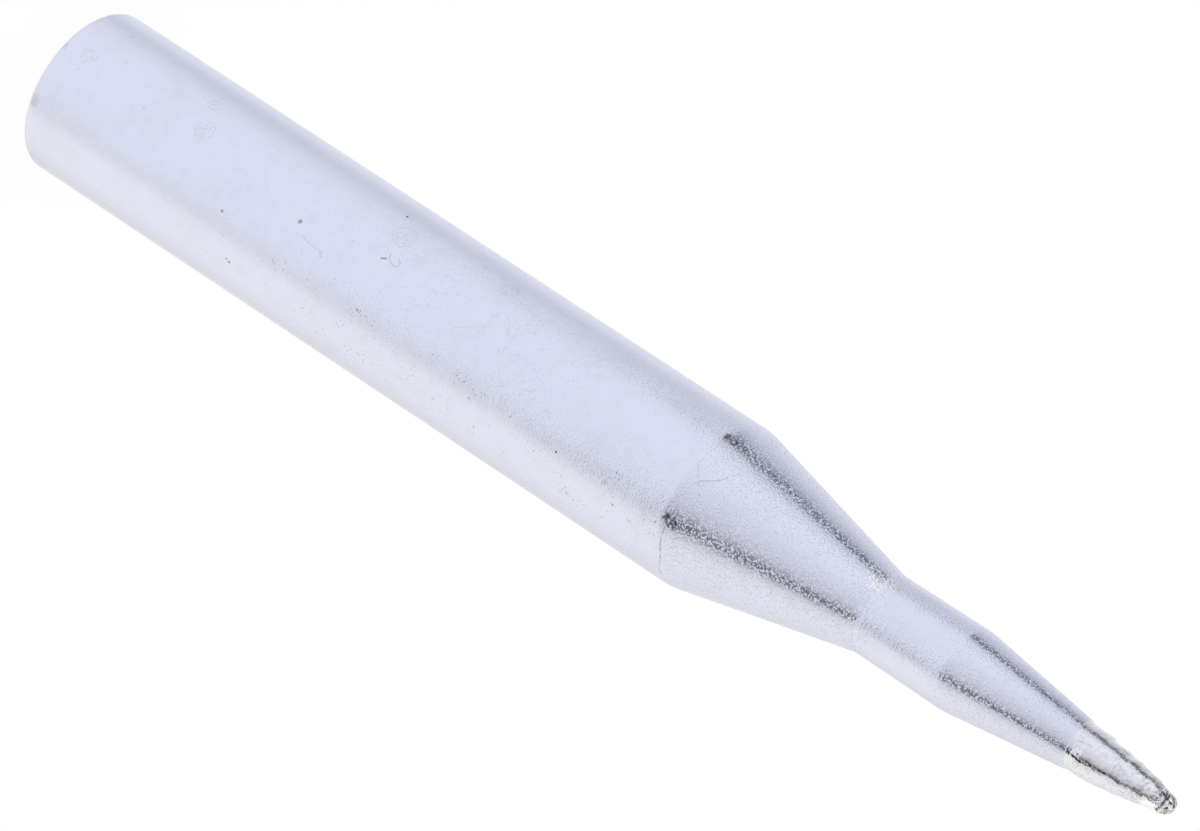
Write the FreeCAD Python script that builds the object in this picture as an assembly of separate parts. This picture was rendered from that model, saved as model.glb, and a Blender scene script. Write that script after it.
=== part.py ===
import FreeCAD, Part
import math
import os

# Soldering iron tip: a turned and plated copper bit with a pencil point.
# It slides over the iron's heater rod, and its point is tinned with solder.
# Sizes are in millimetres. The origin is the centre of the rear face, which the tip
# stands on, and +Z runs along the turning axis to the point. -Y faces the viewer.

# Straight shank
shank_diameter = 6.5
shank_length = 31.47
rear_rim_round = 0.18

# First taper, from the shank down to the neck
first_taper_length = 7.55
neck_root_diameter = 3.18
shoulder_blend_radius = 2.5
throat_blend_radius = 1.5

# Neck, which grows a little towards the nose
neck_length = 4.07
neck_front_diameter = 3.25
neck_front_blend_radius = 2.0

# Nose cone, down to the flat of the pencil point
nose_length = 8.86
point_diameter = 1.0

# Blind bore for the heater rod, as a twist drill leaves it
heater_rod_diameter = 4.1
heater_rod_clearance = 0.1
bore_stop_to_shoulder = 2.0
drill_point_angle = 118.0
bore_mouth_chamfer = 0.25

# Tinned working end: where the plating stops and the solder starts
tinned_length = 3.73
tinned_edge_tilt = 8.0
tinned_edge_azimuth = 10.0
seat_depth = 0.12
solder_step = 0.04
core_end_cover = 0.16

# Swell of the solder over the nose, fuller on the +X side
swell_height = 0.075
swell_lean = 0.02
swell_rise_length = 0.8
swell_fall_length = 1.35

# Lumps of the frozen solder all round, and deeper laps on the -X side
lump_height = 0.008
lump_length = 0.95
lump_lobes = 3
lap_height = 0.024
lap_length = 0.5
lap_peak_below_point = 1.83
section_spacing = 0.125
section_points = 18

# Solder bead frozen on the end of the point, and the smaller drop on its side
bead_radius = 0.39
bead_height = 0.30
bead_offset = 0.03
side_drop_radius = 0.20
side_drop_offset = 0.30
side_drop_height = 0.23
bead_azimuth = 75.0

# Slanting groove where the coat ends against the bead
coat_overrun = 0.30
bead_groove_tilt = 43.0
bead_groove_azimuth = 5.0
bead_groove_width = 0.06
bead_groove_depth = 0.05

# Heights and radii worked out from the sizes above
shank_radius = shank_diameter / 2
neck_root_radius = neck_root_diameter / 2
neck_front_radius = neck_front_diameter / 2
point_radius = point_diameter / 2
bore_radius = heater_rod_diameter / 2 + heater_rod_clearance
bore_depth = shank_length - bore_stop_to_shoulder
shoulder_height = shank_length
neck_root_height = shoulder_height + first_taper_length
neck_front_height = neck_root_height + neck_length
point_height = neck_front_height + nose_length
tinned_edge_height = point_height - tinned_length
lap_peak_height = point_height - lap_peak_below_point
nose_slope = (neck_front_radius - point_radius) / nose_length
drill_point_depth = bore_radius / math.tan(math.radians(drill_point_angle / 2))

AXIS = FreeCAD.Vector(0, 0, 1)
CENTRE = FreeCAD.Vector(0, 0, 0)


def side_direction(azimuth):
    """Unit vector across the axis, azimuth degrees from the viewer's side towards +X."""
    angle = math.radians(azimuth)
    return FreeCAD.Vector(math.sin(angle), -math.cos(angle), 0)


def nose_radius(height):
    """Radius of the plated nose cone at a height."""
    return neck_front_radius - nose_slope * (height - neck_front_height)


def blended_edges(corners):
    """Edges through corners of (radius, height, blend), each corner rounded by its blend."""
    points = [FreeCAD.Vector(radius, 0, height) for radius, height, blend in corners]
    edges = []
    last = points[0]
    for before, corner, after, spec in zip(points, points[1:], points[2:], corners[1:]):
        blend = spec[2]
        if blend > 0:
            back = (before - corner).normalize()
            ahead = (after - corner).normalize()
            half_angle = back.getAngle(ahead) / 2
            reach = blend / math.tan(half_angle)
            inward = (back + ahead).normalize()
            start = corner + back * reach
            middle = corner + inward * (blend / math.sin(half_angle) - blend)
            end = corner + ahead * reach
            edges.append(Part.makeLine(last, start))
            edges.append(Part.Arc(start, middle, end).toShape())
            last = end
        else:
            edges.append(Part.makeLine(last, corner))
            last = corner
    edges.append(Part.makeLine(last, points[-1]))
    return edges


def turned(corners):
    """Solid of revolution about the axis, from corners that start and end on it."""
    edges = blended_edges(corners)
    first = FreeCAD.Vector(corners[0][0], 0, corners[0][1])
    last = FreeCAD.Vector(corners[-1][0], 0, corners[-1][1])
    edges.append(Part.makeLine(last, first))
    face = Part.Face(Part.Wire(edges))
    return face.revolve(CENTRE, AXIS, 360)


def slanting_room(height, tilt, azimuth, depth):
    """Wide disc of room over a plane that is higher on the side of the azimuth."""
    lean = side_direction(azimuth) * -math.sin(math.radians(tilt))
    normal = lean + AXIS * math.cos(math.radians(tilt))
    return Part.makeCylinder(shank_diameter, depth, FreeCAD.Vector(0, 0, height), normal)


def beyond_tinned_edge():
    """Room ahead of the slightly slanting line where the plating stops."""
    depth = nose_length + tinned_length
    return slanting_room(tinned_edge_height, tinned_edge_tilt, tinned_edge_azimuth, depth)


def nose_core():
    """Bare cone of the working end, which the solder wets. It roots inside the nose."""
    root_height = (neck_front_height + tinned_edge_height) / 2
    end_height = point_height - core_end_cover
    return turned(
        [
            (0, root_height, 0),
            (nose_radius(root_height) - seat_depth, root_height, 0),
            (nose_radius(end_height) - seat_depth, end_height, 0),
            (0, end_height, 0),
        ]
    )


def heater_bore():
    """Room of the blind bore: mouth chamfer, straight wall and drill point."""
    return turned(
        [
            (0, -bore_mouth_chamfer, 0),
            (bore_radius + 2 * bore_mouth_chamfer, -bore_mouth_chamfer, 0),
            (bore_radius, bore_mouth_chamfer, 0),
            (bore_radius, bore_depth, 0),
            (0, bore_depth + drill_point_depth, 0),
        ]
    )


def make_tip_body():
    """Turned copper body with its plated shank, double taper, seat for the solder and bore."""
    outside = turned(
        [
            (0, 0, 0),
            (shank_radius, 0, rear_rim_round),
            (shank_radius, shoulder_height, shoulder_blend_radius),
            (neck_root_radius, neck_root_height, throat_blend_radius),
            (neck_front_radius, neck_front_height, neck_front_blend_radius),
            (point_radius, point_height, 0),
            (0, point_height, 0),
        ]
    )
    plated = outside.cut(beyond_tinned_edge())
    return plated.fuse(nose_core()).cut(heater_bore()).removeSplitter()


def smooth_step(share):
    """Smooth rise from 0 to 1 while the share goes from 0 to 1."""
    share = min(1.0, max(0.0, share))
    return share * share * (3 - 2 * share)


def solder_surface(height, angle):
    """Radius of the solder at a height and an angle counted from +X towards +Y."""
    rise = smooth_step((height - tinned_edge_height) / swell_rise_length)
    fall = smooth_step((point_height - height) / swell_fall_length)
    swell = swell_height + swell_lean * math.cos(angle)
    turns = (height - tinned_edge_height) / lump_length
    lumps = lump_height * math.sin(2 * math.pi * turns + lump_lobes * angle)
    lap_turns = (height - lap_peak_height) / lap_length
    far_side = max(0.0, -math.cos(angle)) ** 2
    laps = lap_height * far_side * math.cos(2 * math.pi * lap_turns)
    return nose_radius(height) - solder_step + rise * (fall * (swell + lumps) + laps)


def solder_section(height):
    """Closed smooth outline of the solder at a height."""
    angles = [2 * math.pi * step / section_points for step in range(section_points)]
    points = [
        FreeCAD.Vector(
            solder_surface(height, angle) * math.cos(angle),
            solder_surface(height, angle) * math.sin(angle),
            height,
        )
        for angle in angles
    ]
    curve = Part.BSplineCurve()
    curve.interpolate(Points=points, PeriodicFlag=True)
    return Part.Wire(curve.toShape())


def frozen_drop(radius, height, offset):
    """Ball of solder at a height over the point, moved off the axis to the bead's side."""
    centre = FreeCAD.Vector(0, 0, point_height + height)
    return Part.makeSphere(radius, centre + side_direction(bead_azimuth) * offset)


def bead_groove():
    """Thin slanting ring of room round the point, down to the floor of the groove."""
    band = slanting_room(point_height, bead_groove_tilt, bead_groove_azimuth, bead_groove_width)
    low = tinned_edge_height
    high = point_height + bead_height + bead_radius
    sunk = solder_step + bead_groove_depth
    base = FreeCAD.Vector(0, 0, low)
    floor = Part.makeCone(nose_radius(low) - sunk, nose_radius(high) - sunk, high - low, base)
    return band.cut(floor)


def make_solder_coat():
    """Lumpy shell of solder around the nose core, ending in the bead."""
    edge_reach = nose_radius(tinned_edge_height) * math.tan(math.radians(tinned_edge_tilt))
    start = tinned_edge_height - edge_reach - section_spacing
    length = point_height + coat_overrun - start
    count = math.ceil(length / section_spacing)
    heights = [start + length * step / count for step in range(count + 1)]
    outside = Part.makeLoft([solder_section(height) for height in heights], True)
    coat = outside.common(beyond_tinned_edge()).cut(bead_groove())
    coat = coat.fuse(frozen_drop(bead_radius, bead_height, bead_offset))
    coat = coat.fuse(frozen_drop(side_drop_radius, side_drop_height, side_drop_offset))
    return coat.cut(nose_core()).removeSplitter()


os.makedirs("parts", exist_ok=True)
nodes = {"tip_body": make_tip_body(), "solder_coat": make_solder_coat()}
for name, shape in nodes.items():
    shape.exportStep("parts/" + name + ".step")
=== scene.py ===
import math

import bpy
import numpy as np
from mathutils import Matrix, Vector, noise


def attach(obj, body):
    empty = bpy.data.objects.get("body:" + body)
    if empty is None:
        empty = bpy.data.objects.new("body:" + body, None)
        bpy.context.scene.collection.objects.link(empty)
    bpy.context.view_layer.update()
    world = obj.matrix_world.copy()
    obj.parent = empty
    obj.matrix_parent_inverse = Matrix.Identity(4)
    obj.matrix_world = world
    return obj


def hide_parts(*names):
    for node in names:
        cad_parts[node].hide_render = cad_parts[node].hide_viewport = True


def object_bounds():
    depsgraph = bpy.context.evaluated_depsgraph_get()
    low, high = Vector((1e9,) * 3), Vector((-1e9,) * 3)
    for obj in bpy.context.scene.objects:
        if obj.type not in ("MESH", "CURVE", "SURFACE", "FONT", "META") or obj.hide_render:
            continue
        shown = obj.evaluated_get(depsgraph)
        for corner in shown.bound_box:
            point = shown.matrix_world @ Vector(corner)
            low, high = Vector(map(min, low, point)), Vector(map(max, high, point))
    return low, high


# Looks of the soldering iron tip: its satin plating, the lumpy solder on its point, the
# marks it carries, and the studio. Lengths below are in millimetres unless they say
# otherwise, and MM turns them into the metres of the frame.

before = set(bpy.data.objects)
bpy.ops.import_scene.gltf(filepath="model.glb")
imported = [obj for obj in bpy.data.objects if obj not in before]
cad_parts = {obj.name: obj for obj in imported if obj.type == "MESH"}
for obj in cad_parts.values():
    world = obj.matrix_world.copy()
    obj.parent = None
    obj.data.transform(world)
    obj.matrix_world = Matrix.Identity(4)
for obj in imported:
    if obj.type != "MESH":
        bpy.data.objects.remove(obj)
cad_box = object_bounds()
MM = 0.001

# Sizes that the frame gives
SHANK_RADIUS = cad_box[1].x / MM
TOP_HEIGHT = cad_box[1].z / MM

# Sizes of the turned body
REAR_RIM_ROUND = 0.18
SHOULDER_HEIGHT = 31.47
SHOULDER_BLEND = 2.5
NECK_ROOT_HEIGHT = 39.02
NECK_ROOT_RADIUS = 1.59
THROAT_BLEND = 1.5
NECK_FRONT_HEIGHT = 43.09
NECK_FRONT_RADIUS = 1.625
NECK_FRONT_BLEND = 2.0
POINT_HEIGHT = 51.95
POINT_RADIUS = 0.5
NOSE_SLOPE = (NECK_FRONT_RADIUS - POINT_RADIUS) / (POINT_HEIGHT - NECK_FRONT_HEIGHT)
BORE_RADIUS = 2.15
BORE_DEPTH = 29.47
BORE_CHAMFER = 0.25
DRILL_POINT_HALF_ANGLE = math.radians(59)
DRILL_POINT_DEPTH = BORE_RADIUS / math.tan(DRILL_POINT_HALF_ANGLE)

# Tinned end
TINNED_EDGE_HEIGHT = POINT_HEIGHT - 3.73
TINNED_EDGE_TILT = math.radians(8)
TINNED_EDGE_AZIMUTH = math.radians(10)
SEAT_DEPTH = 0.12
SOLDER_STEP = 0.04
CORE_END_COVER = 0.16
PLATING_EDGE_ROUND = 0.015

# Solder surface: the swell and lumps of the solid, then finer ripples and crinkles, of
# which a share is left at the plating's edge
SWELL_HEIGHT = 0.065
SWELL_LEAN = 0.025
SWELL_RISE = 0.8
SWELL_FALL = 1.35
LUMP_HEIGHT = 0.008
LUMP_LENGTH = 0.95
LUMP_LOBES = 3
RIPPLE_HEIGHT = 0.010
RIPPLE_SIZE = 0.45
CRINKLE_HEIGHT = 0.003
CRINKLE_SIZE = 0.12
CRINKLE_SHARE_AT_EDGE = 0.3

# Laps on the -X side: height of each crest, and how far it stands out of the sunk surface
LAPS = ((49.22, 0.045), (50.12, 0.040), (50.70, 0.036), (51.10, 0.026), (51.56, 0.040))
LAP_SINK = 0.015
LAP_RISE = 0.30
LAP_DROP = 0.09

# Thick run on the +X side, which ends in a small step
RUN_HEIGHT = 0.020
RUN_START = 48.75
RUN_END = 50.36
RUN_RISE = 0.4
RUN_DROP = 0.06

# Bead on the point, and the smaller drop on its side
BEAD_RADIUS = 0.39
BEAD_HEIGHT = POINT_HEIGHT + 0.30
BEAD_OFFSET = 0.03
SIDE_DROP_RADIUS = 0.20
SIDE_DROP_HEIGHT = POINT_HEIGHT + 0.23
SIDE_DROP_OFFSET = 0.30
BEAD_AZIMUTH = math.radians(75)
BEAD_CRINKLE_HEIGHT = 0.020
BEAD_CRINKLE_SIZE = 0.2
BEAD_CRINKLE_SINK = 0.6

# Slanting groove where the coat ends against the bead. The skin falls away past it
COAT_OVERRUN = 0.40
GROOVE_TILT = math.radians(43)
GROOVE_AZIMUTH = math.radians(5)
GROOVE_REACH = 0.035
GROOVE_DEPTH = 0.045
GROOVE_BLEND = 0.012
FALL_PAST_GROOVE = 0.3

# Fineness of the meshes
BODY_SEGMENTS = 256
SOLDER_SEGMENTS = 256
BLEND_STEPS = 14
NOSE_START = 44.5
NOSE_STEPS = 12
EDGE_ROUND_SHARES = (0.35, 0.7, 1.0)
SHARP_ANGLE = math.radians(40)
CONE_STEPS = 160
CONE_END_BELOW_POINT = 0.45
CONE_STEP_LENGTH = 0.012
END_STEPS = 90
END_BLEND_STEPS = 6
REACH_ROUNDS = 3
LEAST_SPREAD = 0.2


def side(azimuth):
    """Direction across the axis, from the viewer's side (-Y) towards +X."""
    return Vector((math.sin(azimuth), -math.cos(azimuth), 0))


def nose_radius(height):
    """Radius of the plated nose cone at a height."""
    return NECK_FRONT_RADIUS - NOSE_SLOPE * (height - NECK_FRONT_HEIGHT)


def blended(corners):
    """Points of a profile of (radius, height) with each corner rounded by its blend."""
    points = [np.array(corner[:2], float) for corner in corners]
    path = [points[0]]
    for before, corner, after, spec in zip(points, points[1:], points[2:], corners[1:]):
        blend = spec[2]
        if blend == 0:
            path.append(corner)
            continue
        back = (before - corner) / np.linalg.norm(before - corner)
        ahead = (after - corner) / np.linalg.norm(after - corner)
        half = math.acos(float(np.clip(back @ ahead, -1, 1))) / 2
        inward = (back + ahead) / np.linalg.norm(back + ahead)
        centre = corner + inward * blend / math.sin(half)
        start = corner + back * blend / math.tan(half)
        end = corner + ahead * blend / math.tan(half)
        first, last = start - centre, end - centre
        sweep = math.acos(float(np.clip(first @ last / blend**2, -1, 1)))
        for step in range(BLEND_STEPS + 1):
            share = step / BLEND_STEPS
            turn = math.sin((1 - share) * sweep) * first + math.sin(share * sweep) * last
            path.append(centre + turn / math.sin(sweep))
    path.append(points[-1])
    return path


def skin(name, rings):
    """Closed mesh object in millimetres, from rings of points whose ends are single points."""
    segments = len(rings[1])
    points = [rings[0][0]]
    for ring in rings[1:-1]:
        points.extend(ring)
    points.append(rings[-1][0])
    faces = []
    for step in range(segments):
        faces.append((0, 1 + (step + 1) % segments, 1 + step))
    inner = len(rings) - 2
    for row in range(inner - 1):
        low = 1 + row * segments
        high = low + segments
        for step in range(segments):
            after = (step + 1) % segments
            faces.append((low + step, low + after, high + after, high + step))
    last = len(points) - 1
    low = 1 + (inner - 1) * segments
    for step in range(segments):
        faces.append((low + step, low + (step + 1) % segments, last))
    mesh = bpy.data.meshes.new(name)
    mesh.from_pydata([Vector(point) * MM for point in points], [], faces)
    mesh.polygons.foreach_set("use_smooth", [True] * len(faces))
    mesh.update()
    piece = bpy.data.objects.new(name, mesh)
    bpy.context.scene.collection.objects.link(piece)
    return piece


def angles_of(segments):
    """Azimuths of the points of a ring."""
    return [2 * math.pi * step / segments for step in range(segments)]


def place(radius, height, azimuth):
    """Point at a radius, a height and an azimuth."""
    return side(azimuth) * radius + Vector((0, 0, height))


def ring_of(radius, height, segments):
    """Ring of points round the axis."""
    return [place(radius, height, angle) for angle in angles_of(segments)]


def tinned_edge(angle):
    """Height where the plating stops, which leans a little round the nose."""
    lean = math.tan(TINNED_EDGE_TILT) * nose_radius(TINNED_EDGE_HEIGHT)
    return TINNED_EDGE_HEIGHT + lean * math.cos(angle - TINNED_EDGE_AZIMUTH)


def seat_rings(segments):
    """Rings of the solder's seat, from the plating's edge to the flat end of the core."""
    edge = []
    for angle in angles_of(segments):
        height = tinned_edge(angle)
        edge.append(place(nose_radius(height) - SEAT_DEPTH, height, angle))
    end = POINT_HEIGHT - CORE_END_COVER
    flat = ring_of(nose_radius(end) - SEAT_DEPTH, end, segments)
    return [edge, flat, [Vector((0, 0, end))]]


def make_plated_body():
    """Turned body: bore, rear face, shank, tapers and neck, then the seat of the solder."""
    bore = [
        (BORE_RADIUS, BORE_DEPTH),
        (BORE_RADIUS, BORE_CHAMFER),
        (BORE_RADIUS + BORE_CHAMFER, 0.0),
    ]
    outside = blended(
        [
            (BORE_RADIUS + BORE_CHAMFER, 0, 0),
            (SHANK_RADIUS, 0, REAR_RIM_ROUND),
            (SHANK_RADIUS, SHOULDER_HEIGHT, SHOULDER_BLEND),
            (NECK_ROOT_RADIUS, NECK_ROOT_HEIGHT, THROAT_BLEND),
            (NECK_FRONT_RADIUS, NECK_FRONT_HEIGHT, NECK_FRONT_BLEND),
            (nose_radius(NOSE_START), NOSE_START, 0),
        ]
    )
    rings = [[Vector((0, 0, BORE_DEPTH + DRILL_POINT_DEPTH))]]
    for radius, height in bore + outside[1:]:
        rings.append(ring_of(radius, height, BODY_SEGMENTS))
    for step in range(1, NOSE_STEPS + 1):
        ring = []
        for angle in angles_of(BODY_SEGMENTS):
            end = tinned_edge(angle) - PLATING_EDGE_ROUND
            height = NOSE_START + (end - NOSE_START) * step / NOSE_STEPS
            ring.append(place(nose_radius(height), height, angle))
        rings.append(ring)
    for share in EDGE_ROUND_SHARES:
        turn = share * math.pi / 2
        ring = []
        for angle in angles_of(BODY_SEGMENTS):
            height = tinned_edge(angle) - PLATING_EDGE_ROUND * (1 - math.sin(turn))
            radius = nose_radius(height) - PLATING_EDGE_ROUND * (1 - math.cos(turn))
            ring.append(place(radius, height, angle))
        rings.append(ring)
    piece = skin("plated_body", rings + seat_rings(BODY_SEGMENTS))
    piece.data.set_sharp_from_angle(angle=SHARP_ANGLE)
    return piece


def smooth_step(share):
    """Smooth rise from 0 to 1 while the share goes from 0 to 1."""
    share = min(1.0, max(0.0, share))
    return share * share * (3 - 2 * share)


def lap(height):
    """Overlapping crests, gentle towards the shank and steep towards the point."""
    highest = 0.0
    for crest, reach in LAPS:
        away = (height - crest) / (LAP_RISE if height < crest else LAP_DROP)
        highest = max(highest, reach * math.exp(-away * away))
    return highest - LAP_SINK


def solder_radius(height, azimuth):
    """Radius of the solder at a height and an azimuth."""
    rise = smooth_step((height - TINNED_EDGE_HEIGHT) / SWELL_RISE)
    fall = smooth_step((POINT_HEIGHT - height) / SWELL_FALL)
    toward_x = math.sin(azimuth)
    swell = SWELL_HEIGHT + SWELL_LEAN * toward_x
    turns = (height - TINNED_EDGE_HEIGHT) / LUMP_LENGTH
    lumps = LUMP_HEIGHT * math.sin(2 * math.pi * turns + LUMP_LOBES * (azimuth - math.pi / 2))
    run = smooth_step((height - RUN_START) / RUN_RISE) * smooth_step((RUN_END - height) / RUN_DROP)
    run *= RUN_HEIGHT * max(0.0, toward_x) ** 3
    laps = lap(height) * max(0.0, -toward_x) ** 2
    return nose_radius(height) - SOLDER_STEP + rise * (fall * (swell + lumps) + laps + run)


def roughened(point, outward, size, height):
    """A point moved along outward by smooth noise of that grain size and height."""
    return point + outward * (height * noise.noise(point / size))


def reach_of_ball(origin, direction, centre, radius):
    """Where a ray from the origin leaves a ball, or 0 if it misses the ball."""
    to_centre = centre - origin
    along = direction.dot(to_centre)
    inside = along**2 - to_centre.length_squared + radius**2
    return along + math.sqrt(inside) if inside > 0 else 0.0


def coat_point(height, azimuth, fade):
    """Point of the rippled coat at a height and an azimuth."""
    outward = side(azimuth)
    point = place(solder_radius(height, azimuth), height, azimuth)
    point = roughened(point, outward, RIPPLE_SIZE, RIPPLE_HEIGHT * fade)
    share = CRINKLE_SHARE_AT_EDGE + (1 - CRINKLE_SHARE_AT_EDGE) * fade
    return roughened(point, outward, CRINKLE_SIZE, CRINKLE_HEIGHT * share)


def point_end(origin, turn, azimuth):
    """Point on the end of the tip, a turn away from the axis, with groove and bead."""
    direction = place(math.sin(turn), math.cos(turn), azimuth)
    slope = math.sin(turn) + NOSE_SLOPE * math.cos(turn)
    reach = (nose_radius(origin.z) - SOLDER_STEP) / max(slope, LEAST_SPREAD)
    for _ in range(REACH_ROUNDS):
        radius = solder_radius(origin.z + reach * math.cos(turn), azimuth)
        reach = radius / max(math.sin(turn), LEAST_SPREAD)
    if math.cos(turn) > 0:
        reach = min(reach, COAT_OVERRUN / math.cos(turn))
    coat = origin + direction * reach
    tilt = math.tan(GROOVE_TILT) * coat.dot(side(GROOVE_AZIMUTH))
    past = (coat.z - POINT_HEIGHT - tilt) * math.cos(GROOVE_TILT)

    bead = place(BEAD_OFFSET, BEAD_HEIGHT, BEAD_AZIMUTH)
    drop = place(SIDE_DROP_OFFSET, SIDE_DROP_HEIGHT, BEAD_AZIMUTH)
    ball = max(
        reach_of_ball(origin, direction, bead, BEAD_RADIUS),
        reach_of_ball(origin, direction, drop, SIDE_DROP_RADIUS),
    )
    crinkle = noise.noise(coat / BEAD_CRINKLE_SIZE) - BEAD_CRINKLE_SINK
    ball = max(ball, reach - FALL_PAST_GROOVE * max(past, 0.0)) + BEAD_CRINKLE_HEIGHT * crinkle
    share = smooth_step((past + GROOVE_BLEND) / (2 * GROOVE_BLEND))
    groove = GROOVE_DEPTH * math.exp(-((past / GROOVE_REACH) ** 2))
    return origin + direction * (reach + (ball - reach) * share - groove)


# Marks on the solder. Lines are points of height and azimuth in degrees, and spots are
# height, azimuth and size. First the painted dark reflections that run along the solder's two
# streaks, then painted glints of highlight, flux stains and smudges
LOWER_STREAK_AT_EDGE = (
    (48.2, 25.5),
    (48.44, 27.1),
    (48.7, 28.1),
    (48.96, 29.1),
    (49.2, 28.9),
    (49.4, 26.0),
)
LOWER_STREAK_TUFTS = (
    ((48.30, 21.5), (48.51, 17.0)),
    ((48.80, 18.2), (49.08, 20.2), (49.34, 23.5)),
    ((48.44, 29.8), (48.60, 23.5)),
    ((49.02, 31.0), (49.14, 24.0)),
)
LOWER_STREAK_LATER = ((49.60, 25.0), (49.84, 25.5), (50.04, 24.5))
LOWER_STREAK_LAST = ((50.18, 25.5), (50.38, 27.8), (50.62, 29.4))
LOWER_LINE = (
    (50.62, 28.2),
    (51.05, 27.6),
    (51.39, 29.1),
    (51.73, 31.3),
    (52.02, 31.8),
    (52.22, 30.9),
)
UPPER_LINES = (
    ((48.79, -47.0), (48.97, -47.4), (49.2, -47.5), (49.44, -47.2)),
    ((49.78, -62.4), (49.99, -64.6), (50.22, -65.5), (50.33, -64.8)),
    ((50.52, -45.8), (50.81, -45.0), (51.1, -42.8), (51.4, -40.3), (51.58, -40.6)),
)
UPPER_END = ((51.84, -34.2), (52.05, -31.0), (52.22, -26.8))
UPPER_TICK = ((51.70, -35.0), (51.80, -30.3))
GLINTS = (
    (48.59, 22.0, 0.07),
    (49.00, 20.5, 0.05),
    (49.13, 22.0, 0.06),
    (49.29, 26.5, 0.06),
    (49.45, 21.0, 0.05),
    (52.44, -27.7, 0.07),
)
FAINT_LINES = (
    ((50.19, 4.6), (50.23, -10.6), (50.25, -21.4)),
    ((50.32, -14.3), (50.46, -9.4)),
    ((50.35, -1.8), (50.45, -5.3)),
    ((48.50, -19.2), (48.62, -17.3)),
    ((48.56, -7.9), (48.83, -11.1), (49.10, -13.8), (49.14, -6.7)),
    ((48.75, 44.0), (48.80, 35.5), (48.93, 35.5), (48.99, 40.6), (48.89, 48.0)),
    ((50.70, 50.6), (50.82, 52.8), (50.97, 42.8), (50.99, 36.0)),
    ((50.36, 42.7), (50.48, 44.1), (50.60, 40.4)),
)
BROWN_SPOTS = (
    (49.32, 39.9, 0.05),
    (49.38, 46.0, 0.05),
    (49.98, 51.2, 0.05),
    (50.09, 55.0, 0.06),
    (51.44, -16.8, 0.05),
    (51.64, -1.6, 0.05),
    (51.66, -11.8, 0.05),
    (51.09, -11.6, 0.04),
    (50.87, -17.2, 0.04),
)
DARK_SMUDGES = ((52.15, 8.0, 0.20), (52.12, -18.0, 0.15), (52.02, 28.0, 0.14))

# Painted dark reflections on the bead, in curls
BEAD_CURLS = (
    ((52.12, 58.0), (52.22, 66.0), (52.34, 72.0), (52.46, 78.3)),
    ((52.38, -53.8), (52.50, -51.2), (52.58, -37.6), (52.62, 9.4)),
    ((52.36, -24.0), (52.45, -11.7), (52.54, -12.7)),
    ((52.30, -53.9), (52.35, -32.4), (52.37, -15.0)),
    ((52.43, 37.7), (52.50, 24.0)),
)

# Width of each kind of line, and the share of a line or spot that its soft edge takes
STREAK_AT_EDGE_WIDTH = 0.075
TUFT_WIDTH = 0.052
DARK_LINE_WIDTH = 0.040
CURL_WIDTH = 0.055
FAINT_LINE_WIDTH = 0.035
LINE_SOFTNESS = 0.65
SPOT_SOFTNESS = 0.55


def on_solder(height, azimuth):
    """Point on the skin of the solder or its bead at a height and an azimuth in degrees."""
    turn = math.radians(azimuth)
    if height < BEAD_HEIGHT:
        radius = solder_radius(height, turn)
    else:
        radius = math.sqrt(max(BEAD_RADIUS**2 - (height - BEAD_HEIGHT) ** 2, 0.0))
    return place(radius, height, turn)


def softened(inside, softness):
    """Mask from 0 at an edge to 1 at a depth of softness inside it."""
    share = np.clip(inside / softness, 0, 1)
    return share * share * (3 - 2 * share)


def line_mask(points, lines, width):
    """How much each of the points lies on some fine lines, from 0 to 1."""
    nearest = np.full(len(points), np.inf)
    for line in lines:
        ends = np.array([on_solder(height, azimuth) for height, azimuth in line])
        for start, end in zip(ends, ends[1:]):
            run = end - start
            along = np.clip((points - start) @ run / (run @ run), 0, 1)
            away = np.linalg.norm(points - start - along[:, None] * run, axis=1)
            nearest = np.minimum(nearest, away)
    return softened(width - nearest, LINE_SOFTNESS * width)


def spot_mask(points, places):
    """How much each of the points lies in some round spots, from 0 to 1."""
    most_in = np.zeros(len(points))
    for height, azimuth, size in places:
        away = np.linalg.norm(points - np.array(on_solder(height, azimuth)), axis=1)
        most_in = np.maximum(most_in, softened(size - away, SPOT_SOFTNESS * size))
    return most_in


def mark_solder(piece):
    """Store on the solder's mesh where its marks, its painted dark reflections and its painted
    glints lie, for its material to read.
    """
    mesh = piece.data
    points = np.empty(len(mesh.vertices) * 3)
    mesh.vertices.foreach_get("co", points)
    points = points.reshape(-1, 3) / MM
    # Dark lines are painted dark reflections along the solder's two streaks
    dark_lines = UPPER_LINES + (LOWER_STREAK_LAST, LOWER_LINE, UPPER_TICK)
    faint_lines = line_mask(points, FAINT_LINES, FAINT_LINE_WIDTH)
    masks = {
        "streak_at_edge": line_mask(points, (LOWER_STREAK_AT_EDGE,), STREAK_AT_EDGE_WIDTH),
        "smudges": spot_mask(points, DARK_SMUDGES),
        "tufts": line_mask(points, LOWER_STREAK_TUFTS + (LOWER_STREAK_LATER,), TUFT_WIDTH),
        "dark_lines": line_mask(points, dark_lines, DARK_LINE_WIDTH),
        "curls": line_mask(points, BEAD_CURLS + (UPPER_END,), CURL_WIDTH),
        "faint_lines": np.maximum(faint_lines, spot_mask(points, BROWN_SPOTS)),
        "glints": spot_mask(points, GLINTS),
    }
    for name, mask in masks.items():
        layer = mesh.attributes.new(name, "FLOAT", "POINT")
        layer.data.foreach_set("value", mask.astype(np.float32))


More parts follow.
